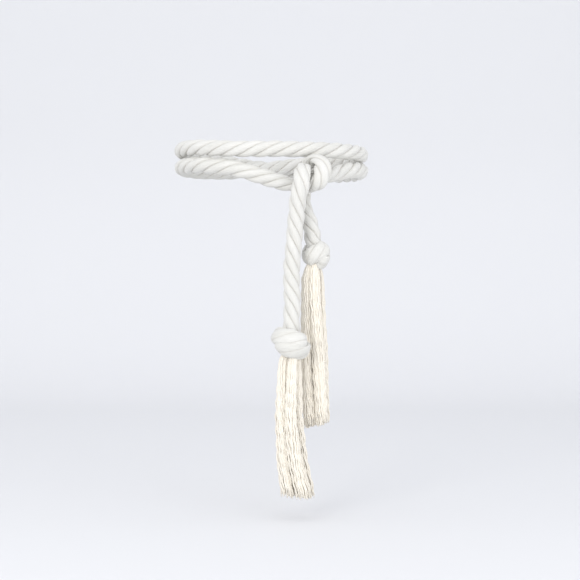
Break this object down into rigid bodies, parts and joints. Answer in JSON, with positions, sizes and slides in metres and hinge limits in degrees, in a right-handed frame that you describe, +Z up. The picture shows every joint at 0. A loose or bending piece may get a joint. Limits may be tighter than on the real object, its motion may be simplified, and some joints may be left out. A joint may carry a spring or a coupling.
{
  "type": "rope belt",
  "caption": "Thick laid cotton rope worn as a double-wrap belt, tied in a half knot at the front, its two hanging tails ending in stopper knots and tassels",
  "frame": {"origin": "middle of the waist that the belt goes round, at the height where its two laps meet", "axes": "+Z up as worn, -Y forward, the tie at the front to the +X side, tails hanging down -Z"},
  "size_m": [0.2692, 0.2826, 0.477],
  "materials": {
    "rope": "matt natural off-white cotton, loosely twisted yarns in four laid strands",
    "yarn": "matt cream cotton yarn, crinkled where it was unlaid"
  },
  "bodies": {
    "root": {"rope": "rope", "long_tail_knot": "rope", "short_tail_knot": "rope", "long_tassel": "yarn", "short_tassel": "yarn"}
  },
  "joints": []
}
